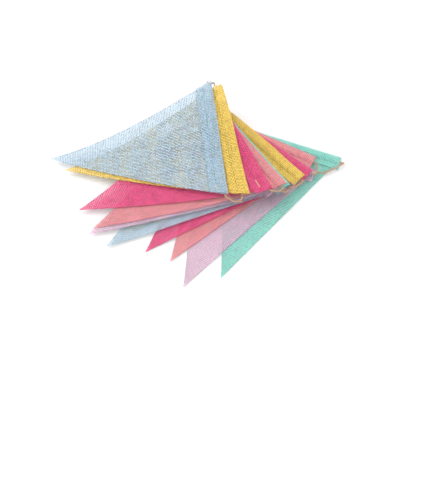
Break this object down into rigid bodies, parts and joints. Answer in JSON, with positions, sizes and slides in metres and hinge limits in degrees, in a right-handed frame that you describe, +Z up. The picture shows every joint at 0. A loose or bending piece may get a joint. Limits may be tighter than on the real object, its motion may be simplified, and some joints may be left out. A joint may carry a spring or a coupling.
{
  "type": "fabric bunting folded into a fan",
  "caption": "Fabric bunting of coarse open-weave triangular pennants hemmed over one jute twine, folded up into a fan that lies flat",
  "frame": {"origin": "middle of the bounding box in plan, on the surface that the fan lies on", "axes": "+Z up, across the pile; +X along the fan's longer side, from the tips of the upper pennants towards the hems of the lower ones; +Y towards the ends where the hems come together"},
  "size_m": [0.3224, 0.2322, 0.0471],
  "materials": {
    "blue_cloth": "light blue coarse open plain weave, matt, sheer",
    "yellow_cloth": "warm yellow coarse open plain weave, matt, sheer",
    "pink_cloth": "hot pink coarse open plain weave, matt, sheer",
    "salmon_cloth": "salmon pink coarse open plain weave, matt, sheer",
    "lilac_cloth": "lilac coarse open plain weave, matt, sheer",
    "mint_cloth": "mint green coarse open plain weave, matt, sheer",
    "jute_twine": "tan twisted jute, hairy and matt"
  },
  "bodies": {
    "root": {"mint_2": "mint_cloth", "lilac_2": "lilac_cloth", "salmon_2": "salmon_cloth", "pink_2": "pink_cloth", "yellow_2": "yellow_cloth", "blue_2": "blue_cloth", "mint_1": "mint_cloth", "lilac_1": "lilac_cloth", "salmon_1": "salmon_cloth", "pink_1": "pink_cloth", "yellow_1": "yellow_cloth", "blue_1": "blue_cloth", "twine": "jute_twine"}
  },
  "joints": []
}
